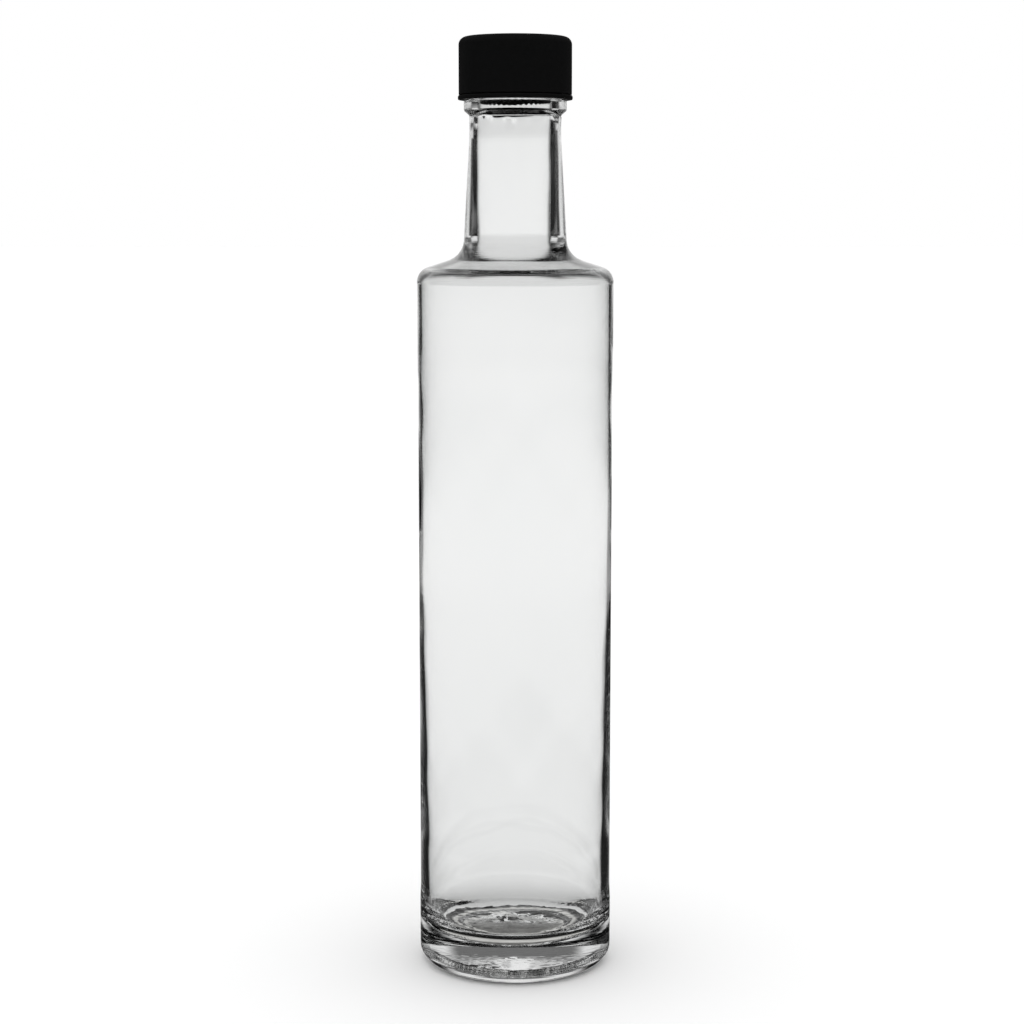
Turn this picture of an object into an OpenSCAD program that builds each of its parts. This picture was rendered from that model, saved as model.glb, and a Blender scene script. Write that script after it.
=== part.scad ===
// Round glass oil bottle with a black pourer insert and a black screw cap.
// Millimetres. The origin is the centre of the resting ring, and +Z points up to the cap.

/* [Body] */
// Diameter of the heel band and the shoulder band
body_d = 60.6; // [58:0.1:64]
// How far the label panel lies behind the two bands
panel_recess = 0.2; // [0.1:0.05:0.4]
// Height of the heel band's upper edge
heel_band_z = 20; // [14:1:30]
// Height of the shoulder band's lower edge
shoulder_band_z = 194.5; // [185:0.5:200]
// Height at which the shoulder's slope would meet the body's side
shoulder_z = 218.4; // [210:0.1:225]
// Slope of the shoulder, in degrees
shoulder_slope = 18.4; // [12:0.2:30]
// Radius of the shoulder's outer corner
shoulder_round = 4.85; // [3:0.05:7]
// Radius of the heel
heel_round = 5.1; // [3:0.1:7]

/* [Neck] */
// Diameter of the straight part of the neck
neck_d = 28; // [27:0.1:29]
// Diameter of the neck where it runs into the shoulder's slope
neck_foot_d = 32.1; // [30:0.1:36]
// Height where the straight part of the neck begins
neck_straight_z = 259; // [245:1:262]
// Radius between the neck and the shoulder
neck_foot_round = 6.8; // [4:0.1:9]
// Diameter of the bore of the neck
bore_d = 22.5; // [21.4:0.1:23]

/* [Finish] */
// Diameter of the glass collar under the cap
collar_d = 31.4; // [31:0.1:32.4]
// Height of the collar's upper face
collar_top_z = 270; // [269:0.1:271]
// Height of the collar, with its chamfer
collar_h = 4.6; // [3.5:0.1:6]
// Diameter of the wall that carries the thread
finish_d = 28.5; // [28.3:0.1:28.7]
// Diameter of the bead that holds the tamper ring down
bead_d = 30.2; // [29.9:0.1:30.4]
// Height of the glass rim above the collar
finish_h = 13.6; // [13.6:0.1:14]
// Diameter over the glass thread
thread_d = 30.4; // [30:0.1:30.6]
// Rise of the thread for each turn
thread_pitch = 3.6; // [3.4:0.1:3.6]
// Turns of thread on the glass and in the cap
thread_turns = 1.25; // [1:0.05:1.25]

/* [Glass] */
// Thickness of the side wall at the upper body
side_wall = 1.4; // [1.2:0.1:2.5]
// Thickness of the side wall just above the heel
heel_wall = 2.9; // [2:0.1:3.5]
// Thickness of the shoulder, measured straight down
shoulder_wall = 1.9; // [1.7:0.1:3]
// Height of the floor inside, at its edge
floor_z = 10.4; // [8:0.1:13]
// Height of the push-up under the base
pushup_h = 3.4; // [2:0.1:5]
// Inner diameter of the ring that the bottle stands on
ring_inner_d = 41; // [38:0.5:44]

/* [Cap] */
// Diameter of the cap
cap_d = 34.5; // [34.3:0.1:36]
// Height of the bottle with its cap
total_h = 289; // [288.9:0.1:290]
// Thickness of the cap's side
cap_side = 1.55; // [1.5:0.05:1.6]
// Thickness of the cap's top
cap_roof = 1.6; // [1.4:0.1:1.6]
// Radius of the cap's upper edge
cap_round = 2.4; // [1:0.1:3]
// Thickness of the sealing liner
liner_t = 1.25; // [1:0.05:1.3]
// Diameter over the bead of the tamper ring
tamper_d = 35; // [34.8:0.1:36.4]
// Height of the visible band of the tamper ring
tamper_h = 1.3; // [1.1:0.1:1.3]

/* [Hidden] */
$fn = 96;

glass_colour = [0.86, 0.90, 0.89, 0.45];
black_colour = [0.05, 0.05, 0.055];
liner_colour = [0.93, 0.93, 0.92];

arc_steps = 8;
rings_per_turn = 28;
thread_lead_turns = 0.12;
thread_root = 0.3;

body_r = body_d / 2;
panel_r = body_r - panel_recess;
heel_step = 4;
heel_step_round = 30;
shoulder_step = 12;
// As large as the step's height allows without its two rounded ends meeting
shoulder_step_round = 0.8 * shoulder_step * shoulder_step / panel_recess;
neck_r = neck_d / 2;
neck_foot_r = neck_foot_d / 2;
bore_r = bore_d / 2;
collar_r = collar_d / 2;
collar_side_h = 3.15;
collar_round = 0.9;
finish_r = finish_d / 2;
bead_r = bead_d / 2;
bead_low = collar_top_z + 2.9;
bead_high = collar_top_z + 5.4;
rim_z = collar_top_z + finish_h;
glass_thread_r = thread_d / 2;
glass_thread_z = collar_top_z + 7;

// The inner side is thinnest half way up and thickens towards the heel
inner_top_r = body_r - side_wall;
inner_mid_r = panel_r - 0.8 * side_wall;
inner_low_r = panel_r - 0.88 * heel_wall;
inner_heel_r = body_r - heel_wall;
inner_corner_round = 9.5;
inner_shoulder_round = 3.4;
bore_foot_round = neck_foot_round + 2.5;
floor_crown = 1.2;

tamper_gap = 0.15;
tamper_z = collar_top_z + tamper_gap;
tamper_r = tamper_d / 2;
tamper_hole_r = 14.6;
tamper_flap_z = tamper_z + 2.25;

cap_r = cap_d / 2;
cap_in_r = cap_r - cap_side;
cap_gap = 0.25;
cap_low_z = tamper_z + tamper_h + cap_gap;
cap_roof_z = total_h - cap_roof;
cap_thread_r = cap_in_r - 0.95;
// The cap's thread runs under the glass thread, this far above the middle of the gap
thread_bias = 0.4;
cap_thread_start = 0.5;
cap_thread_z = glass_thread_z + thread_pitch * (cap_thread_start - 0.5) + thread_bias;
liner_hold = 0.2;
liner_hold_z = cap_roof_z - 1.9;

liner_slack = 0.05;
liner_r = cap_in_r - 0.1;
liner_low_z = cap_roof_z - liner_slack - liner_t;

pourer_grip = 0.05;
pourer_slack = 0.15;
pourer_wall = 1;
pourer_low_z = rim_z - 14.7;
pourer_rib_drops = [4.2, 6.8, 9.4];
pourer_flange_r = 13.8;
pourer_flange_t = 1.1;
pourer_lip_z = liner_low_z - liner_slack;
pourer_lip_r = 11.8;
pourer_web_z = rim_z - 6.6;
pourer_web_t = 1.2;
pourer_eye_r = 4.6;
pourer_eye_wall = 1;
pourer_spokes = 6;
pourer_spoke_w = 1.2;

function unit(v) = v / norm(v);
function turned(v, a) = [v.x * cos(a) - v.y * sin(a), v.x * sin(a) + v.y * cos(a)];

// Points of the arc of radius r that rounds the corner p on the way from a to b
function corner_arc(a, p, b, r) =
    let (
        u = unit(a - p),
        v = unit(b - p),
        half = acos(u * v) / 2,
        centre = p + unit(u + v) * r / sin(half),
        start = p + u * r / tan(half) - centre,
        side = sign(u.y * v.x - u.x * v.y)
    )
    [for (i = [0:arc_steps]) centre + turned(start, side * (180 - 2 * half) * i / arc_steps)];

// Closed outline through corners [r, z, rounding], where a rounding of 0 keeps the corner sharp
function outline(c) =
    let (n = len(c))
    [
        for (i = [0:n - 1])
            let (
                p = [c[i][0], c[i][1]],
                a = [c[(i + n - 1) % n][0], c[(i + n - 1) % n][1]],
                b = [c[(i + 1) % n][0], c[(i + 1) % n][1]]
            )
            each c[i][2] == 0 ? [p] : corner_arc(a, p, b, c[i][2])
    ];

// Height of the shoulder's outer slope at the radius r
function slope_z(r) = shoulder_z + (body_r - r) * tan(shoulder_slope);

module turned_solid(corners) {
    rotate_extrude()
        polygon(outline(corners));
}

// One helical thread ridge from the radius foot to the radius crest. It starts at the height z and
// the turn first, and fades in and out over thread_lead_turns.
module helix_ridge(foot, crest, z, first, foot_w, crest_w) {
    rings = round(thread_turns * rings_per_turn);
    function depth(t) = min(1, t / thread_lead_turns, (thread_turns - t) / thread_lead_turns);
    function ring(t) =
        let (
            angle = 360 * (first + t),
            mid = z + thread_pitch * t,
            tip = foot + (crest - foot) * max(0.1, depth(t))
        )
        [
            for (q = [[foot, -foot_w / 2], [tip, -crest_w / 2], [tip, crest_w / 2], [foot, foot_w / 2]])
                [q[0] * cos(angle), q[0] * sin(angle), mid + q[1]]
        ];
    points = [for (i = [0:rings]) each ring(thread_turns * i / rings)];
    sides = [
        for (i = [0:rings - 1])
            for (j = [0:3])
                let (k = (j + 1) % 4)
                each [
                    [4 * i + j, 4 * i + k, 4 * i + 4 + k],
                    [4 * i + j, 4 * i + 4 + k, 4 * i + 4 + j]
                ]
    ];
    last = 4 * rings;
    ends = [[3, 2, 1, 0], [last, last + 1, last + 2, last + 3]];
    all_faces = concat(sides, ends);
    // A ridge that points inwards is wound the other way round
    faces = crest < foot ? [for (f = all_faces) [for (i = [len(f) - 1:-1:0]) f[i]]] : all_faces;
    polyhedron(points = points, faces = faces, convexity = 6);
}

module glass_bottle() {
    color(glass_colour) {
        turned_solid([
            // Underside: push-up, resting ring and heel
            [0, pushup_h, 0],
            [ring_inner_d / 2 - 3, pushup_h - 1, 4],
            [ring_inner_d / 2, 0, 0.8],
            [body_r, 0, heel_round],
            // Side: heel band, label panel and shoulder band
            [body_r, heel_band_z, heel_step_round],
            [panel_r, heel_band_z + heel_step, heel_step_round],
            [panel_r, shoulder_band_z - shoulder_step, shoulder_step_round],
            [body_r, shoulder_band_z, shoulder_step_round],
            [body_r, shoulder_z, shoulder_round],
            // Neck and collar
            [neck_foot_r, slope_z(neck_foot_r), neck_foot_round],
            [neck_r, neck_straight_z, 60],
            [neck_r, collar_top_z - collar_h, collar_round],
            [collar_r, collar_top_z - collar_side_h, collar_round],
            [collar_r, collar_top_z, 0.5],
            // Finish: wall, tamper bead and rim
            [finish_r, collar_top_z, 0.3],
            [finish_r, bead_low, 0],
            [bead_r, bead_low + 0.4, 0.2],
            [bead_r, bead_low + 1.1, 0.3],
            [finish_r, bead_high, 0.3],
            [finish_r, rim_z, 1],
            [bore_r, rim_z, 0.8],
            // Inside: bore, shoulder, side and floor
            [bore_r, slope_z(bore_r) - shoulder_wall, bore_foot_round],
            [inner_top_r, slope_z(inner_top_r) - shoulder_wall, inner_shoulder_round],
            [inner_mid_r, 120, 400],
            [inner_low_r, 40, 200],
            [inner_heel_r, floor_z, inner_corner_round],
            [0, floor_z + floor_crown, 0]
        ]);
        helix_ridge(finish_r - thread_root, glass_thread_r, glass_thread_z, 0, 2.2, 1);
    }
}

module pourer_insert() {
    skirt_r = bore_r - pourer_slack;
    rib_r = bore_r + pourer_grip;
    inner_r = skirt_r - pourer_wall;
    color(black_colour) {
        turned_solid([
            [inner_r, pourer_low_z, 0],
            [skirt_r - 0.5, pourer_low_z, 0],
            [skirt_r, pourer_low_z + 1.2, 0],
            [skirt_r, rim_z, 0],
            [pourer_flange_r, rim_z, 0.2],
            [pourer_flange_r, rim_z + pourer_flange_t, 0.4],
            [inner_r + pourer_wall, rim_z + pourer_flange_t, 0.3],
            [pourer_lip_r, pourer_lip_z, 0.15],
            [pourer_lip_r - 0.9, pourer_lip_z, 0.15],
            [inner_r, rim_z - 1, 2]
        ]);
        for (drop = pourer_rib_drops)
            translate([0, 0, rim_z - drop])
                turned_solid([
                    [skirt_r - 0.3, -0.8, 0],
                    [rib_r, -0.2, 0],
                    [rib_r, 0.2, 0],
                    [skirt_r - 0.3, 0.8, 0]
                ]);
        translate([0, 0, pourer_web_z])
            difference() {
                cylinder(h = pourer_web_t, r = pourer_eye_r + pourer_eye_wall);
                translate([0, 0, -1])
                    cylinder(h = pourer_web_t + 2, r = pourer_eye_r);
            }
        for (i = [0:pourer_spokes - 1])
            rotate([0, 0, 360 * i / pourer_spokes])
                translate([pourer_eye_r + 0.5, -pourer_spoke_w / 2, pourer_web_z])
                    cube([inner_r - pourer_eye_r, pourer_spoke_w, pourer_web_t]);
    }
}

module tamper_ring() {
    color(black_colour)
        turned_solid([
            [tamper_hole_r + 1, tamper_z, 0],
            [tamper_r - 0.15, tamper_z, 0.2],
            [tamper_r, tamper_z + 0.3, 0.2],
            [tamper_r, tamper_z + tamper_h - 0.35, 0.2],
            [tamper_r - 0.25, tamper_z + tamper_h, 0.1],
            [tamper_r - 1, tamper_z + tamper_h, 0],
            [tamper_r - 1, tamper_z + 0.8, 0],
            [tamper_hole_r + 0.55, tamper_flap_z, 0],
            [tamper_hole_r, tamper_flap_z, 0]
        ]);
}

module screw_cap() {
    color(black_colour) {
        turned_solid([
            [cap_r, cap_low_z, 0.15],
            [cap_r, total_h, cap_round],
            [0, total_h, 0],
            [0, cap_roof_z, 0],
            [cap_in_r, cap_roof_z, 0.1],
            [cap_in_r, liner_hold_z + 0.4, 0],
            [cap_in_r - liner_hold, liner_hold_z + 0.1, 0],
            [cap_in_r - liner_hold, liner_hold_z - 0.1, 0],
            [cap_in_r, liner_hold_z - 0.4, 0],
            [cap_in_r, cap_low_z + 0.6, 0],
            [cap_in_r + 0.4, cap_low_z, 0]
        ]);
        helix_ridge(cap_in_r + thread_root, cap_thread_r, cap_thread_z, cap_thread_start, 1.6, 0.8);
    }
}

module cap_liner() {
    color(liner_colour)
        turned_solid([
            [0, liner_low_z, 0],
            [liner_r, liner_low_z, 0.2],
            [liner_r, liner_low_z + liner_t, 0.2],
            [0, liner_low_z + liner_t, 0]
        ]);
}

glass_bottle();
pourer_insert();
tamper_ring();
screw_cap();
cap_liner();
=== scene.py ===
"""Glass oil bottle: the looks. Every piece is turned about the bottle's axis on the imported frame."""
import math

import bmesh
import bpy
import numpy as np
from mathutils import Matrix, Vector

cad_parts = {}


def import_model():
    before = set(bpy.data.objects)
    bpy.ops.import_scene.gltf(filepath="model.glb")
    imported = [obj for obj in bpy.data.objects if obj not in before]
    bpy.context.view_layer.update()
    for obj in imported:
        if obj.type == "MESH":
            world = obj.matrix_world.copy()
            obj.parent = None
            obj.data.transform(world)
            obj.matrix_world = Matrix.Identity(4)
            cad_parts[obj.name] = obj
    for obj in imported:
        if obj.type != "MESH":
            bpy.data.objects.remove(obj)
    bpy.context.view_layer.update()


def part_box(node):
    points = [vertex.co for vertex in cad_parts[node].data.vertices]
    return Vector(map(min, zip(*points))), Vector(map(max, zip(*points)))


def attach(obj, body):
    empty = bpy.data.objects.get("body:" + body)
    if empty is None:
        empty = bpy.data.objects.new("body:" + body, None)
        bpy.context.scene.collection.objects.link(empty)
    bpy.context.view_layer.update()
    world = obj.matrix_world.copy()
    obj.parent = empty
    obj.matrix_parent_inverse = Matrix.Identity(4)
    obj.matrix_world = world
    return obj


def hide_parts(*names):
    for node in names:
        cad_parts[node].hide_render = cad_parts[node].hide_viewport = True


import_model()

MM = 0.001
SIDES = 144


# ---------------------------------------------------------------- the frame's sizes, in millimetres

def extent(node):
    """Outer radius, lowest and highest point of a round CAD node."""
    low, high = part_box(node)
    return high.x / MM, low.z / MM, high.z / MM


body_r, _, rim_z = extent("glass_bottle")
cap_r, cap_low, cap_top = extent("screw_cap")
tamper_r, tamper_low, tamper_flap_z = extent("tamper_ring")
liner_r, liner_low, liner_top = extent("cap_liner")
pourer_flange_r, pourer_low, pourer_lip_z = extent("pourer_insert")


# ---------------------------------------------------------------- outlines

def unit(v):
    return v / np.linalg.norm(v)


def rounded(corners, closed=False, arc_step=7.0):
    """Outline through corners (r, z, rounding). A rounding of 0 keeps the corner sharp."""
    spots = [np.array(c[:2], float) for c in corners]
    count = len(corners)
    points = []
    for i, (spot, corner) in enumerate(zip(spots, corners)):
        rounding = corner[2]
        if not rounding or (not closed and i in (0, count - 1)):
            points.append(spot)
            continue
        back = unit(spots[i - 1] - spot)
        on = unit(spots[(i + 1) % count] - spot)
        half = math.acos(float(back @ on)) / 2
        centre = spot + unit(back + on) * rounding / math.sin(half)
        start = spot + back * rounding / math.tan(half) - centre
        turn = math.pi - 2 * half
        side = math.copysign(1, back[1] * on[0] - back[0] * on[1])
        steps = max(3, math.ceil(math.degrees(turn) / arc_step))
        for k in range(steps + 1):
            a = side * turn * k / steps
            points.append(centre + np.array([
                start[0] * math.cos(a) - start[1] * math.sin(a),
                start[0] * math.sin(a) + start[1] * math.cos(a),
            ]))
    return np.array(points)


def refined(points, step, closed=False):
    """The same outline with no stretch longer than step(spot), and a close point at each end of a long
    one."""
    ends = np.vstack([points, points[:1]]) if closed else points
    result = []
    for a, b in zip(ends[:-1], ends[1:]):
        length = np.linalg.norm(b - a)
        count = max(1, math.ceil(length / step((a + b) / 2)))
        shares = [k / count for k in range(count)]
        guard = 0.06
        if length > 6 * guard:
            shares = sorted(set(shares + [guard / length, 1 - guard / length]))
        result += [a + (b - a) * s for s in shares]
    if not closed:
        result.append(ends[-1])
    return np.array(result)


# ---------------------------------------------------------------- turned solids

def turned(name, outline, shape=None, closed=False, sides=SIDES):
    """A solid turned about Z. An open outline starts and ends on the axis; a closed one is a ring.
    shape(r, z, angle) may move the points, in millimetres, and gives r and z, or r, z and the angle."""
    angle = np.arange(sides) * 2 * math.pi / sides
    r = np.repeat(outline[:, :1], sides, axis=1)
    z = np.repeat(outline[:, 1:], sides, axis=1)
    a = np.repeat(angle[None, :], len(outline), axis=0)
    if shape:
        r, z, *turned_to = shape(r, z, a)
        a = turned_to[0] if turned_to else a
    xyz = np.stack([r * np.cos(a), r * np.sin(a), z], axis=-1) * MM
    rows = len(outline)
    if closed:
        verts = xyz.reshape(-1, 3)
        row_start = [i * sides for i in range(rows)]
        pairs = [(i, (i + 1) % rows) for i in range(rows)]
        faces = []
    else:
        verts = np.vstack([xyz[0, :1], xyz[1:-1].reshape(-1, 3), xyz[-1, :1]])
        row_start = [0] + [1 + i * sides for i in range(rows - 2)] + [1 + (rows - 2) * sides]
        pairs = [(i, i + 1) for i in range(1, rows - 2)]
        last = row_start[-1]
        faces = [(0, 1 + (k + 1) % sides, 1 + k) for k in range(sides)]
        faces += [(row_start[-2] + k, row_start[-2] + (k + 1) % sides, last) for k in range(sides)]
    for low, high in pairs:
        for k in range(sides):
            on = (k + 1) % sides
            below, above = row_start[low], row_start[high]
            faces.append((below + k, below + on, above + on, above + k))
    mesh = bpy.data.meshes.new(name)
    mesh.from_pydata(verts.tolist(), [], faces)
    mesh.validate()
    piece = bpy.data.objects.new(name, mesh)
    bpy.context.scene.collection.objects.link(piece)
    point_outwards(mesh)
    mesh.polygons.foreach_set("use_smooth", [True] * len(mesh.polygons))
    mesh.update()
    return piece


def point_outwards(mesh):
    """Turns every face the other way if the closed mesh came out inside out."""
    volume = 0.0
    for face in mesh.polygons:
        corners = [mesh.vertices[v].co for v in face.vertices]
        for b, c in zip(corners[1:], corners[2:]):
            volume += corners[0].dot(b.cross(c))
    if volume < 0:
        mesh.flip_normals()


def smooth_step(x):
    x = np.clip(x, 0, 1)
    return x * x * (3 - 2 * x)


def helix(angle, z, start_z, start_turn, turns, pitch, foot, crest, fade=0.12):
    """Height share, 0 to 1, of a thread ridge at each angle and height."""
    share = np.zeros_like(z)
    for lap in range(-1, 3):
        turn = angle / (2 * math.pi) + lap - start_turn
        middle = start_z + pitch * turn
        flank = smooth_step((foot / 2 - np.abs(z - middle)) / (foot / 2 - crest / 2))
        fading = smooth_step(np.minimum(turn / fade, (turns - turn) / fade))
        share = np.maximum(share, flank * fading)
    return share


# ---------------------------------------------------------------- shader help

def new_material(name):
    material = bpy.data.materials.new(name)
    material.use_nodes = True
    nodes, links = material.node_tree.nodes, material.node_tree.links
    shader = nodes["Principled BSDF"]
    where = nodes.new("ShaderNodeTexCoord")
    return material, nodes, links, shader, where.outputs["Object"]


def noise(nodes, links, where, scale, detail=3.0, roughness=0.5, stretch=(1, 1, 1)):
    """Noise in object space. scale is in waves per metre."""
    spread = nodes.new("ShaderNodeMapping")
    spread.inputs["Scale"].default_value = stretch
    links.new(where, spread.inputs["Vector"])
    node = nodes.new("ShaderNodeTexNoise")
    node.inputs["Scale"].default_value = scale
    node.inputs["Detail"].default_value = detail
    node.inputs["Roughness"].default_value = roughness
    links.new(spread.outputs["Vector"], node.inputs["Vector"])
    return node.outputs["Fac"]


def spread_to(nodes, links, value, low, high, from_low=0.3, from_high=0.7):
    """Maps a 0 to 1 value to the range low to high."""
    node = nodes.new("ShaderNodeMapRange")
    node.inputs["From Min"].default_value = from_low
    node.inputs["From Max"].default_value = from_high
    node.inputs["To Min"].default_value = low
    node.inputs["To Max"].default_value = high
    links.new(value, node.inputs["Value"])
    return node.outputs["Result"]


def blend_colours(nodes, links, value, low, high):
    node = nodes.new("ShaderNodeMix")
    node.data_type = "RGBA"
    node.inputs["A"].default_value = (*low, 1)
    node.inputs["B"].default_value = (*high, 1)
    links.new(value, node.inputs["Factor"])
    return node.outputs["Result"]


def bump(nodes, links, height, shader, depth_mm, before=None):
    node = nodes.new("ShaderNodeBump")
    node.inputs["Strength"].default_value = 1.0
    node.inputs["Distance"].default_value = depth_mm * MM
    links.new(height, node.inputs["Height"])
    if before is not None:
        links.new(before, node.inputs["Normal"])
    links.new(node.outputs["Normal"], shader.inputs["Normal"])
    return node.outputs["Normal"]


def dress(piece, material, body, node):
    piece.data.materials.append(material)
    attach(piece, body)
    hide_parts(node)


# ---------------------------------------------------------------- materials

def glass_material():
    material, nodes, links, shader, where = new_material("clear_container_glass")
    shader.inputs["Transmission Weight"].default_value = 1.0
    shader.inputs["IOR"].default_value = 1.52
    shader.inputs["Roughness"].default_value = 0.0
    tone = noise(nodes, links, where, 18, detail=2)
    links.new(blend_colours(nodes, links, spread_to(nodes, links, tone, 0, 1),
                            (0.978, 0.984, 0.982), (0.990, 0.993, 0.991)), shader.inputs["Base Color"])
    slow = noise(nodes, links, where, 55, detail=2, stretch=(1, 1, 0.35))
    first = bump(nodes, links, slow, shader, 0.012)
    fine = noise(nodes, links, where, 170, detail=1)
    bump(nodes, links, fine, shader, 0.002, before=first)
    return material


def black_material(name, gloss, roughness):
    """Black plastic. gloss is its specular level, and roughness the lowest and the highest roughness."""
    material, nodes, links, shader, where = new_material(name)
    tone = noise(nodes, links, where, 900, detail=4)
    links.new(blend_colours(nodes, links, tone, (0.0018, 0.0018, 0.002), (0.0034, 0.0034, 0.0036)),
              shader.inputs["Base Color"])
    haze = noise(nodes, links, where, 130, detail=5, stretch=(1, 1, 0.4))
    links.new(spread_to(nodes, links, haze, *roughness), shader.inputs["Roughness"])
    shader.inputs["Specular IOR Level"].default_value = gloss
    grain = noise(nodes, links, where, 5200, detail=3)
    bump(nodes, links, grain, shader, 0.004)
    return material


def foam_material():
    material, nodes, links, shader, where = new_material("white_liner_foam")
    cells = nodes.new("ShaderNodeTexVoronoi")
    cells.inputs["Scale"].default_value = 2600
    links.new(where, cells.inputs["Vector"])
    white = blend_colours(nodes, links, cells.outputs["Distance"], (0.93, 0.93, 0.91), (0.80, 0.80, 0.78))
    links.new(white, shader.inputs["Base Color"])
    tone = noise(nodes, links, where, 900)
    links.new(spread_to(nodes, links, tone, 0.6, 0.8), shader.inputs["Roughness"])
    bump(nodes, links, cells.outputs["Distance"], shader, 0.03)
    return material


# ---------------------------------------------------------------- the glass bottle

# The thread's rise for each turn, and its turns
PITCH = 3.6
THREAD_TURNS = 1.25
# Outside, from the heel up
PUSHUP_H = 3.4
HEEL_ROUND = 5.1
HEEL_BAND_Z = 20.0
PANEL_R = body_r - 0.2
SHOULDER_BAND_Z = 194.5
SHOULDER_Z = 218.4
SHOULDER_SLOPE = math.radians(18.4)
SHOULDER_ROUND = 4.85
NECK_FOOT_R = 16.05
NECK_FOOT_ROUND = 6.8
NECK_R = 14.0
NECK_STRAIGHT_Z = 259
COLLAR_TOP = rim_z - 13.6
COLLAR_R = 15.7
FINISH_R = 14.25
BEAD_R = 15.1
THREAD_R = 15.2
THREAD_Z = COLLAR_TOP + 7
# Inside: the bore, how far it lies to one side, and the walls
BORE_R = 11.25
BORE_ASIDE = 0.3
BORE_FOOT_ROUND = 9.3
SIDE_WALL = 1.4
HEEL_WALL = 2.9
SHOULDER_WALL = 1.9
FLOOR_Z = 10.4
FLOOR_CROWN = 1.2
# The resting ring's stipples: how many, where they lie, and how deep the hollows between them are
STIPPLES = 84
STIPPLE_IN, STIPPLE_OUT, STIPPLE_DEPTH = 17.3, 21.2, 0.11
# Waves of the chill marks on both sides of the floor: how fast each runs along X and along Y, and its phase
CHILL_WAVES = [(1.9, 0.6, 0.3), (-0.8, 1.5, 1.9), (0.4, -2.3, 4.1), (2.7, 1.7, 2.6), (-1.3, 0.9, 5.2)]
# Where the mould's three dots lie on the underside
MOULD_DOTS = [(1.9, -18.4), (7.9, -16.6), (10.4, -15.2)]


def slope_z(r):
    """Height of the shoulder's outer slope."""
    return SHOULDER_Z + (body_r - r) * math.tan(SHOULDER_SLOPE)


def glass_outer():
    """Corners of the glass's outside, from the middle of the base to the rim."""
    return rounded([
        # Underside: push-up and resting ring
        (0, PUSHUP_H, 0),
        (17.5, PUSHUP_H - 1, 4),
        (20.5, 0, 0.8),
        # Side: heel, label panel and shoulder
        (body_r, 0, HEEL_ROUND),
        (body_r, HEEL_BAND_Z, 30),
        (PANEL_R, HEEL_BAND_Z + 4, 30),
        (PANEL_R, SHOULDER_BAND_Z - 12, 576),
        (body_r, SHOULDER_BAND_Z, 576),
        (body_r, SHOULDER_Z, SHOULDER_ROUND),
        # Neck and collar
        (NECK_FOOT_R, slope_z(NECK_FOOT_R), NECK_FOOT_ROUND),
        (NECK_R, NECK_STRAIGHT_Z, 60),
        (NECK_R, COLLAR_TOP - 4.6, 0.9),
        (COLLAR_R, COLLAR_TOP - 3.15, 0.9),
        (COLLAR_R, COLLAR_TOP, 0.5),
        # Finish: wall, tamper bead and rim
        (FINISH_R, COLLAR_TOP, 0.3),
        (FINISH_R, COLLAR_TOP + 2.9, 0.15),
        (BEAD_R, COLLAR_TOP + 3.3, 0.2),
        (BEAD_R, COLLAR_TOP + 4.0, 0.3),
        (FINISH_R, COLLAR_TOP + 5.4, 0.3),
        (FINISH_R, rim_z, 1),
        (BORE_R + 1.5, rim_z, 0),
    ])


def glass_inner():
    """Corners of the glass's inside, from the rim down to the middle of the floor."""
    top_r = body_r - SIDE_WALL
    middle_r = PANEL_R - 0.8 * SIDE_WALL
    low_r = PANEL_R - 2.55
    heel_r = body_r - HEEL_WALL
    return rounded([
        (BORE_R + 1.5, rim_z, 0),
        (BORE_R, rim_z, 0.8),
        (BORE_R, slope_z(BORE_R) - SHOULDER_WALL, BORE_FOOT_ROUND),
        (top_r, slope_z(top_r) - SHOULDER_WALL, 3.4),
        (middle_r, 120, 400),
        (low_r, 40, 200),
        (heel_r, FLOOR_Z, 9.5),
        (0, FLOOR_Z + FLOOR_CROWN, 0),
    ], arc_step=3.5)


def ripples(angle, z):
    """Uneven thickness that blowing leaves on the inside, -1 to 1."""
    waves = [
        # share, lobes round the body, length up the body, phase round, phase up
        (0.34, 1, 190, 0.7, 0.4),
        (0.26, 2, 120, 2.1, 1.3),
        (0.16, 3, 74, 4.0, 2.9),
        (0.12, 5, 47, 1.1, 5.0),
        (0.07, 8, 33, 5.3, 0.9),
        (0.05, 13, 21, 3.7, 4.2),
    ]
    total = np.zeros_like(z)
    for share, lobes, length, round_phase, up_phase in waves:
        round_wave = np.cos(lobes * angle + round_phase)
        total += share * round_wave * np.cos(2 * math.pi * z / length + up_phase)
    return total


def chill_marks(x, y):
    """Slow waves that the cold mould leaves in the floor, -1 to 1."""
    waves = [np.cos(x * along_x + y * along_y + phase) for along_x, along_y, phase in CHILL_WAVES]
    return sum(waves) / len(waves)


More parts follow.
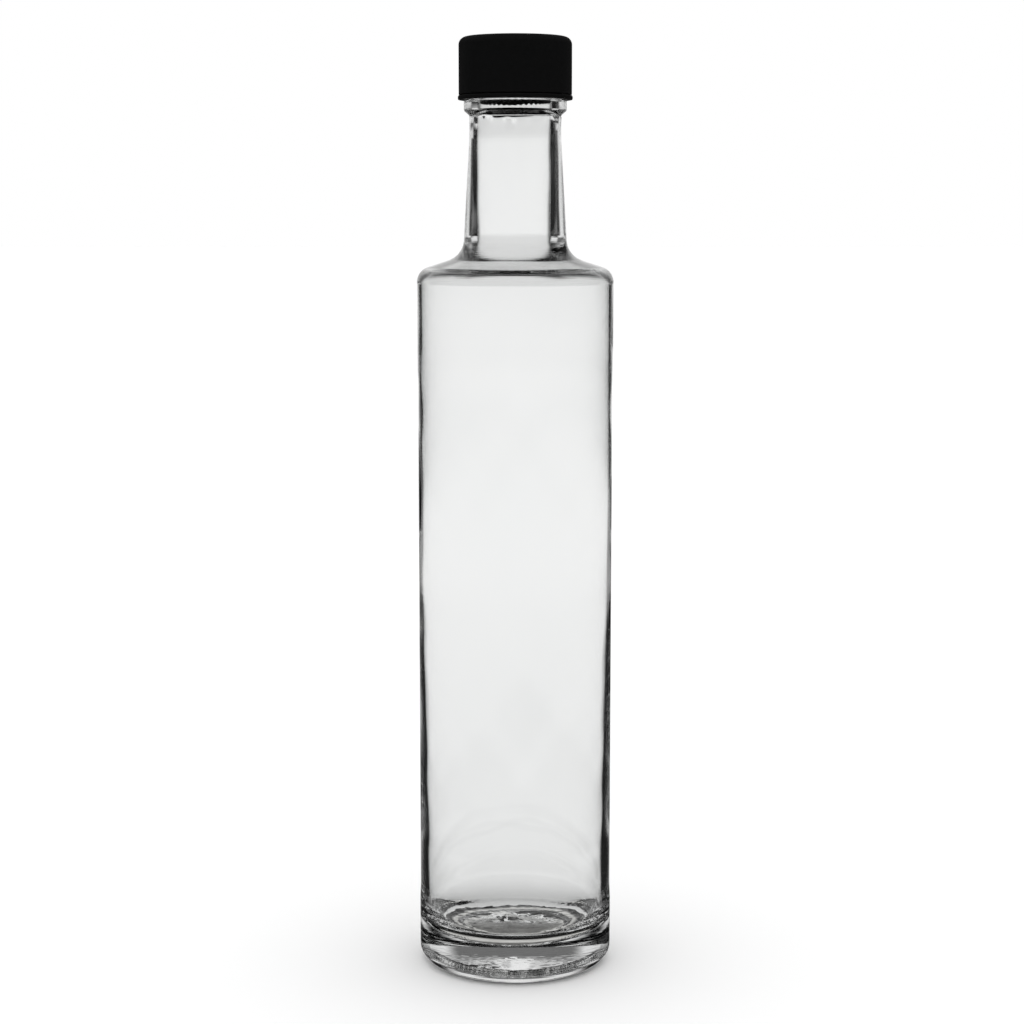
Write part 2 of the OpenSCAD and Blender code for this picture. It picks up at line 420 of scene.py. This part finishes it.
def glass_piece():
    finish_low = COLLAR_TOP - 6

    def outer_step(spot):
        if spot[1] > finish_low:
            return 0.22
        return 0.45 if spot[1] < 6 else 2.6

    outer = refined(glass_outer(), outer_step)
    inner = refined(glass_inner(), lambda spot: 3.0 if spot[1] < finish_low else 1.5)[1:]
    inside_from = len(outer)

    def shape(r, z, angle):
        inside = np.zeros_like(r, bool)
        inside[inside_from:] = True
        # Blown inner side: the waves fade out at the floor's middle and in the neck
        body_share = smooth_step((slope_z(26) - 6 - z) / 14) * smooth_step((r - 12) / 12)
        neck_share = smooth_step((z - 226) / 8) * smooth_step((COLLAR_TOP - 8 - z) / 10)
        wave = ripples(angle, z)
        r = np.where(inside, r + wave * (0.22 * body_share + 0.15 * neck_share), r)
        floor_share = smooth_step((25 - r) / 8) * (z < 30)
        across, along = r * np.cos(angle), r * np.sin(angle)
        swell = 0.3 * np.cos(2 * angle + r * 0.3 + 0.6) + 0.14 * chill_marks(-along, across)
        z = np.where(inside, z + floor_share * swell, z)
        # Thread on the finish
        ridge = helix(angle, z, THREAD_Z, 0, THREAD_TURNS, PITCH, 2.2, 0.8)
        on_wall = ~inside & (z > COLLAR_TOP + 5) & (z < rim_z - 0.4)
        r = np.where(on_wall, np.maximum(r, FINISH_R + ridge * (THREAD_R - FINISH_R)), r)
        # Neck-ring mould joint: a slight uneven ridge below the collar
        joint_z = COLLAR_TOP - 5.6 + 0.35 * np.cos(3 * angle + 1.0) + 0.22 * np.cos(11 * angle)
        joint = np.exp(-((z - joint_z) / 0.26) ** 2) * (0.2 + 0.08 * np.cos(7 * angle + 2))
        r = np.where(~inside & (z > 255) & (z < COLLAR_TOP - 4.4), r + joint, r)
        # Stipples on the resting ring, cut upwards so that their tips stay on the floor
        ring = smooth_step((r - STIPPLE_IN) / 0.4) * smooth_step((STIPPLE_OUT - r) / 0.6)
        cut = 0.5 - 0.5 * np.cos(STIPPLES * angle)
        under = ~inside & (z < 3.6) & (r < STIPPLE_OUT + 1)
        z = np.where(under, z + ring * cut * STIPPLE_DEPTH, z)
        # Chill marks on the push-up, and the mould's three dots
        x, y = r * np.cos(angle), r * np.sin(angle)
        z = np.where(under, z + 0.03 * chill_marks(x, y) * smooth_step((18.2 - r) / 2), z)
        for dot_x, dot_y in MOULD_DOTS:
            bulge = np.exp(-((x - dot_x) ** 2 + (y - dot_y) ** 2) / 0.45)
            z = np.where(under, z + 0.3 * bulge, z)
        # The neck's bore lies a little to one side, as on most blown bottles
        aside = smooth_step((z - 214) / 12) * smooth_step((COLLAR_TOP - z) / 10) * inside
        x = r * np.cos(angle) - BORE_ASIDE * aside
        y = r * np.sin(angle)
        r, angle = np.hypot(x, y), np.arctan2(y, x)
        return r, z, angle

    outline = np.vstack([outer, inner])
    piece = turned("bottle_glass", outline, shape, sides=4 * STIPPLES)
    dress(piece, glass_material(), "bottle", "glass_bottle")


# ---------------------------------------------------------------- the plastic pieces

def cap_piece(material):
    inner_r = cap_r - 1.55
    roof = cap_top - 1.6
    hold = roof - 1.9
    crest_r = inner_r - 0.95
    outline = refined(rounded([
        (0, cap_top - 0.25, 0),
        (0.7, cap_top - 0.25, 0.1),
        (0.8, cap_top - 0.1, 0.1),
        (cap_r - 3.6, cap_top - 0.1, 1),
        (cap_r - 3.2, cap_top, 1),
        (cap_r, cap_top, 2.4),
        (cap_r, cap_low, 0.2),
        (inner_r + 0.4, cap_low, 0.1),
        (inner_r, cap_low + 0.6, 0.2),
        (inner_r, hold - 0.4, 0.1),
        (inner_r - 0.2, hold - 0.1, 0.1),
        (inner_r - 0.2, hold + 0.1, 0.1),
        (inner_r, hold + 0.4, 0.1),
        (inner_r, roof, 0.1),
        (0, roof, 0),
    ]), lambda spot: 0.25 if inner_r - 0.3 < spot[0] < inner_r + 0.1 else 1.5)

    def shape(r, z, angle):
        ridge = helix(angle, z, THREAD_Z + 0.4, 0.5, THREAD_TURNS, PITCH, 1.6, 0.6)
        on_wall = (r < inner_r + 0.05) & (r > inner_r - 0.1) & (z < hold - 0.5)
        return np.where(on_wall, r - ridge * (inner_r - crest_r), r), z

    piece = turned("cap_shell", outline, shape)
    dress(piece, material, "cap", "screw_cap")


def tamper_piece(material):
    top = tamper_low + 1.3
    hole_r = 14.6
    outline = refined(rounded([
        (hole_r + 1, tamper_low, 0.08),
        (tamper_r - 0.15, tamper_low, 0.2),
        (tamper_r, tamper_low + 0.3, 0.2),
        (tamper_r, top - 0.35, 0.2),
        (tamper_r - 0.25, top, 0.1),
        (tamper_r - 1, top, 0.1),
        (tamper_r - 1, tamper_low + 0.8, 0.1),
        (hole_r + 0.55, tamper_flap_z, 0.1),
        (hole_r, tamper_flap_z, 0.1),
    ], closed=True), lambda spot: 0.5, closed=True)

    def shape(r, z, angle):
        # Stubs of the broken bridges stand on the band's upper edge
        stub = smooth_step((np.cos(12 * angle) - 0.93) / 0.03) * smooth_step((z - top + 0.06) / 0.05)
        on_band = (r > tamper_r - 0.8) & (r < tamper_r - 0.2)
        return r, np.where(on_band, z + 0.14 * stub, z)

    piece = turned("tamper_band", outline, shape, closed=True, sides=288)
    dress(piece, material, "ring", "tamper_ring")


def liner_piece():
    outline = refined(rounded([
        (0, liner_low, 0),
        (liner_r, liner_low, 0.25),
        (liner_r, liner_top, 0.25),
        (0, liner_top, 0),
    ]), lambda spot: 1.2)

    def shape(r, z, angle):
        # The glass and the pourer's lip press a shallow ring into the foam
        pressed = np.exp(-((r - 10.4) / 0.7) ** 2) * (z < liner_low + 0.1)
        return r, z + 0.05 * pressed

    piece = turned("foam_liner", outline, shape)
    dress(piece, foam_material(), "liner", "cap_liner")


# The pourer: teeth on its lower edge, the radius of its eye, and the thickness of its web
TEETH = 34
EYE_R = 4.6
WEB = 1.2


def pourer_piece(material):
    skirt_r = BORE_R - 0.15
    inner_r = skirt_r - 1
    web_z = rim_z - 6.6
    lip_r = 11.8
    ribs = []
    for drop in (9.4, 6.8, 4.2):
        z = rim_z - drop
        ribs += [(skirt_r, z - 0.5, 0.1), (skirt_r + 0.14, z, 0.1), (skirt_r, z + 0.5, 0.1)]
    outline = refined(rounded([
        (inner_r, pourer_low, 0.1),
        (skirt_r - 0.5, pourer_low, 0.1),
        (skirt_r, pourer_low + 1.2, 0.2),
        *ribs,
        (skirt_r, rim_z + 0.02, 0.1),
        (pourer_flange_r, rim_z + 0.02, 0.2),
        (pourer_flange_r, rim_z + 1.1, 0.4),
        (skirt_r, rim_z + 1.1, 0.3),
        (lip_r, pourer_lip_z, 0.15),
        (lip_r - 0.9, pourer_lip_z, 0.15),
        (inner_r, rim_z - 1, 2),
    ], closed=True), lambda spot: 0.8, closed=True)

    def shape(r, z, angle):
        # The lower edge is cut into small uneven teeth
        tooth = (0.5 + 0.5 * np.cos(TEETH * angle)) * (0.35 + 0.2 * np.cos(5 * angle + 1))
        return r, np.where(z < pourer_low + 0.3, z + tooth, z)

    piece = turned("pourer_plug", outline, shape, closed=True, sides=8 * TEETH)
    dress(piece, material, "bottle", "pourer_insert")
    eye = turned("pourer_eye", refined(rounded([
        (EYE_R, web_z, 0.2),
        (EYE_R + 1, web_z, 0.2),
        (EYE_R + 1, web_z + WEB, 0.2),
        (EYE_R, web_z + WEB, 0.2),
    ], closed=True), lambda spot: 0.5, closed=True), closed=True, sides=96)
    dress(eye, material, "bottle", "pourer_insert")
    dress(spokes("pourer_spokes", 6, EYE_R + 0.5, inner_r + 0.4, web_z), material,
          "bottle", "pourer_insert")


def spokes(name, count, start_r, end_r, z):
    """Round-edged bars from the eye to the skirt."""
    mesh = bpy.data.meshes.new(name)
    work = bmesh.new()
    for i in range(count):
        made = bmesh.ops.create_cube(work, size=1)["verts"]
        bmesh.ops.scale(work, vec=(end_r - start_r, WEB, WEB), verts=made)
        bmesh.ops.translate(work, vec=((start_r + end_r) / 2, 0, z + WEB / 2), verts=made)
        bmesh.ops.rotate(work, matrix=Matrix.Rotation(2 * math.pi * i / count, 3, "Z"), verts=made)
    bmesh.ops.bevel(work, geom=work.edges[:], offset=0.2, segments=3, affect="EDGES")
    bmesh.ops.scale(work, vec=(MM, MM, MM), verts=work.verts[:])
    work.to_mesh(mesh)
    work.free()
    mesh.polygons.foreach_set("use_smooth", [True] * len(mesh.polygons))
    piece = bpy.data.objects.new(name, mesh)
    bpy.context.scene.collection.objects.link(piece)
    return piece


glass_piece()
cap_black = black_material("black_cap_plastic", 0.4, (0.30, 0.42))
cap_piece(cap_black)
tamper_piece(cap_black)
liner_piece()
pourer_piece(black_material("black_pourer_plastic", 0.1, (0.62, 0.75)))


# ---------------------------------------------------------------- studio

def card_material(name, colour, roughness):
    material, nodes, links, shader, where = new_material(name)
    tone = noise(nodes, links, where, 6, detail=2)
    low = tuple(c * 0.985 for c in colour)
    links.new(blend_colours(nodes, links, tone, low, colour), shader.inputs["Base Color"])
    shader.inputs["Roughness"].default_value = roughness
    return material


def floor():
    half = 12.0
    corners = [(-half, -half, 0), (half, -half, 0), (half, half, 0), (-half, half, 0)]
    mesh = bpy.data.meshes.new("studio_floor")
    mesh.from_pydata(corners, [], [(0, 1, 2, 3)])
    piece = bpy.data.objects.new("studio_floor", mesh)
    piece.location.z = -0.0001
    bpy.context.scene.collection.objects.link(piece)
    mesh.materials.append(card_material("pale_floor", (0.9, 0.9, 0.9), 0.9))
    piece.visible_transmission = False
    piece.visible_glossy = False


def shaded_spot():
    """A glowing patch of painted shade, with a painted lighter ring, for the floor right under the bottle;
    it shows only through the glass.
    """
    radius = body_r * MM * 0.97
    mesh = bpy.data.meshes.new("shaded_spot")
    ring = [(radius * math.cos(a), radius * math.sin(a), 0) for a in np.arange(96) * 2 * math.pi / 96]
    mesh.from_pydata(ring, [], [tuple(range(96))])
    piece = bpy.data.objects.new("shaded_spot", mesh)
    piece.location.z = -0.00004
    bpy.context.scene.collection.objects.link(piece)
    material = bpy.data.materials.new("shaded_floor")
    material.use_nodes = True
    nodes, links = material.node_tree.nodes, material.node_tree.links
    nodes.clear()
    where = nodes.new("ShaderNodeTexCoord").outputs["Object"]
    away = nodes.new("ShaderNodeVectorMath")
    away.operation = "LENGTH"
    links.new(where, away.inputs[0])
    edge = spread_to(nodes, links, away.outputs["Value"], 1, 0, 0.0225, 0.0245)
    # Painted shade, mottled at random across the patch
    patches = noise(nodes, links, where, 150, detail=5, stretch=(0.6, 1, 1))
    mottle = spread_to(nodes, links, patches, 0.07, 0.24)
    # Painted light: the patch is lighter under the resting ring than under the push-up
    ring_light = nodes.new("ShaderNodeMath")
    ring_light.operation = "ADD"
    links.new(mottle, ring_light.inputs[0])
    links.new(spread_to(nodes, links, away.outputs["Value"], 0, 0.4, 0.0165, 0.0185), ring_light.inputs[1])
    lit = nodes.new("ShaderNodeMath")
    lit.operation = "MULTIPLY_ADD"
    links.new(edge, lit.inputs[0])
    links.new(ring_light.outputs["Value"], lit.inputs[1])
    lit.inputs[2].default_value = 0.008
    # The patch glows: its strength is the painted shade and light, not light from a lamp
    glow = nodes.new("ShaderNodeEmission")
    glow.inputs["Color"].default_value = (1.0, 0.99, 0.96, 1)
    links.new(lit.outputs["Value"], glow.inputs["Strength"])
    out = nodes.new("ShaderNodeOutputMaterial")
    links.new(glow.outputs["Emission"], out.inputs["Surface"])
    mesh.materials.append(material)
    piece.visible_camera = False
    piece.visible_diffuse = False
    piece.visible_glossy = False
    piece.visible_shadow = False


# Direction of the clear lane behind the bottle in the view from behind, besides the four square to the axes
REAR_LANE = math.radians(-45)


def world():
    """A white studio. Rays that have passed through the glass also find dark sectors between the clear
    lanes, a dark ceiling and a shaded table, and reflections find the studio dimmed."""
    surroundings = bpy.data.worlds.new("studio")
    surroundings.use_nodes = True
    nodes, links = surroundings.node_tree.nodes, surroundings.node_tree.links
    nodes.clear()

    def connect(socket, value):
        if isinstance(value, (int, float)):
            socket.default_value = value
        else:
            links.new(value, socket)

    def maths(operation, *values):
        node = nodes.new("ShaderNodeMath")
        node.operation = operation
        for socket, value in zip(node.inputs, values):
            connect(socket, value)
        return node.outputs["Value"]

    def product(first, *others):
        for other in others:
            first = maths("MULTIPLY", first, other)
        return first

    def highest(first, *others):
        for other in others:
            first = maths("MAXIMUM", first, other)
        return first

    def step(value, low, high, at_low, at_high):
        """at_low below low, at_high above high, and a smooth ramp between."""
        node = nodes.new("ShaderNodeMapRange")
        node.interpolation_type = "SMOOTHSTEP"
        settings = (("From Min", low), ("From Max", high), ("To Min", at_low), ("To Max", at_high))
        for name, setting in settings:
            node.inputs[name].default_value = setting
        links.new(value, node.inputs["Value"])
        return node.outputs["Result"]

    def turn_step(value, low, high, at_low, at_high):
        """The same between two angles in degrees."""
        return step(value, math.radians(low), math.radians(high), at_low, at_high)

    def blend(share, first, second):
        """first where share is 0, second where it is 1."""
        node = nodes.new("ShaderNodeMix")
        for name, value in (("Factor", share), ("A", first), ("B", second)):
            connect(node.inputs[name], value)
        return node.outputs["Result"]

    # Where a ray goes: how steeply, round the room from +X, and away from +Y, which is behind the bottle
    split = nodes.new("ShaderNodeSeparateXYZ")
    links.new(nodes.new("ShaderNodeTexCoord").outputs["Generated"], split.inputs["Vector"])
    height = split.outputs["Z"]
    turn = maths("ARCTAN2", split.outputs["Y"], split.outputs["X"])
    behind = maths("ARCCOSINE", maths("SINE", turn))
    # What a ray has met
    path = nodes.new("ShaderNodeLightPath").outputs
    through = path["Is Transmission Ray"]
    mirrorings = path["Glossy Depth"]
    once = maths("LESS_THAN", mirrorings, 1.5)
    steep = step(height, -0.46, -0.38, 0.75, 0)

    # Rays that were only refracted find four bright lanes square to the axes, and lanes for views from above
    offset = maths("DIVIDE", maths("ARCCOSINE", maths("COSINE", maths("MULTIPLY", turn, 4))), 4)
    lane = turn_step(offset, 24, 42, 1, 0.01)
    diagonal = product(step(height, -0.27, -0.22, 1, 0), turn_step(offset, 34, 37, 0, 1))
    to_rear = maths("GREATER_THAN", maths("COSINE", maths("SUBTRACT", turn, REAR_LANE)), 0.8)
    rear = product(to_rear, turn_step(offset, 26, 30, 0, 1))
    refracted = highest(lane, steep, diagonal, rear)

    # Rays mirrored within the glass wall find the rear lane only: narrow from the lower body, wider from the
    # upper body and wide from the neck, with a grey stretch at the waist
    narrow = turn_step(behind, 2, 19, 1, 0.015)
    between = turn_step(behind, 9, 25, 1, 0.015)
    wide = turn_step(behind, 22, 37, 1, 0.015)
    wall_lane = blend(step(height, -0.02, 0.01, 0, 1), between, wide)
    wall_lane = blend(step(height, -0.13, -0.09, 0, 1), narrow, wall_lane)
    waist = product(step(height, -0.24, -0.19, 0, 1), step(height, -0.14, -0.09, 1, 0),
                    turn_step(behind, 14, 19, 0, 0.45))
    rising = product(step(height, 0.07, 0.12, 0, 1.0), turn_step(behind, 56, 66, 1, 0.02))
    in_wall = highest(waist, wall_lane, steep, rising)
    # Seen through the heel, the middle of the room behind is dim
    core = product(step(height, 0.07, 0.11, 0, 1), step(height, 0.36, 0.42, 1, 0))
    in_wall = product(in_wall, blend(core, 1.0, turn_step(behind, 25, 37, 0.2, 1)))

    # Rays mirrored across the hollow find an even studio, so that they draw no stripes on the body
    across = product(maths("GREATER_THAN", path["Transmission Depth"], 3),
                     step(height, -0.33, -0.30, 0, 1), step(height, 0.06, 0.1, 1, 0))
    within = blend(product(across, once), in_wall, 1.0)
    # Beyond the wall's own mirror angle the body's plain reflections find the white studio
    front = product(step(height, -0.31, -0.27, 0, 0.9), step(height, -0.15, -0.08, 1, 0))
    mirror_end = step(height, -0.285, -0.165, math.radians(42.5), math.radians(29.5))
    past_mirror = product(front, turn_step(maths("SUBTRACT", behind, mirror_end), 0, 7, 0, 1))
    shallow = product(once, maths("LESS_THAN", path["Transmission Depth"], 2.5))
    within = highest(within, product(shallow, past_mirror))
    sectors = blend(maths("GREATER_THAN", mirrorings, 0), refracted, within)

    # The light falls off towards the neck's height, the ceiling and the table
    neck = product(step(height, -0.15, -0.08, 0.91, 0.96), step(height, -0.06, 0.03, 1, 0.82))
    ceiling = step(height, 0.3, 0.55, 1.0, 0.04)
    table = product(step(height, -0.27, -0.14, 0.95, 1.0), step(height, -1.0, -0.35, 0.6, 1.0))
    aside = step(maths("SINE", turn), 0.82, 0.93, 1, 0)
    level = product(neck, ceiling, highest(table, product(aside, 0.93)))
    seen = product(through, sectors, level)

    # Sharp reflections on the outside, which only glass has, find the rear lane, and the plastic's find a
    # dim studio
    rim_end = product(mirror_end, 1.13)
    past_rim = product(front, turn_step(maths("SUBTRACT", behind, rim_end), 0, 7, 0, 1))
    rim = product(highest(wall_lane, past_rim), level)
    mirrored = blend(path["Is Singular Ray"], step(height, -0.05, 0.9, 0.035, 0.08), rim)
    glossy = product(path["Is Glossy Ray"], maths("SUBTRACT", 1, through), mirrored)

    plain = product(path["Is Diffuse Ray"], 1.27)
    strength = maths("ADD", maths("ADD", glossy, seen), maths("ADD", plain, path["Is Camera Ray"]))
    back = nodes.new("ShaderNodeBackground")
    back.inputs["Color"].default_value = (1, 1, 1, 1)
    links.new(strength, back.inputs["Strength"])
    out = nodes.new("ShaderNodeOutputWorld")
    links.new(back.outputs["Background"], out.inputs["Surface"])
    bpy.context.scene.world = surroundings


def camera():
    eye_z, distance, down = 0.2386, 0.690, 7.85
    view = bpy.data.cameras.new("camera")
    view.lens = 78.4
    view.sensor_width = 36
    view.clip_start = 0.01
    view.clip_end = 60
    holder = bpy.data.objects.new("camera", view)
    holder.location = (-0.001, -distance, eye_z)
    holder.rotation_euler = (math.radians(90 - down), 0, 0)
    bpy.context.scene.collection.objects.link(holder)
    bpy.context.scene.camera = holder


floor()
shaded_spot()
world()
camera()

scene = bpy.context.scene
scene.view_settings.view_transform = "Standard"
# Light caught in the thick glass of the neck's foot and the heel needs many bounces to come out again
scene.cycles.max_bounces = 72
scene.cycles.transmission_bounces = 24
scene.cycles.glossy_bounces = 64
scene.cycles.use_denoising = True
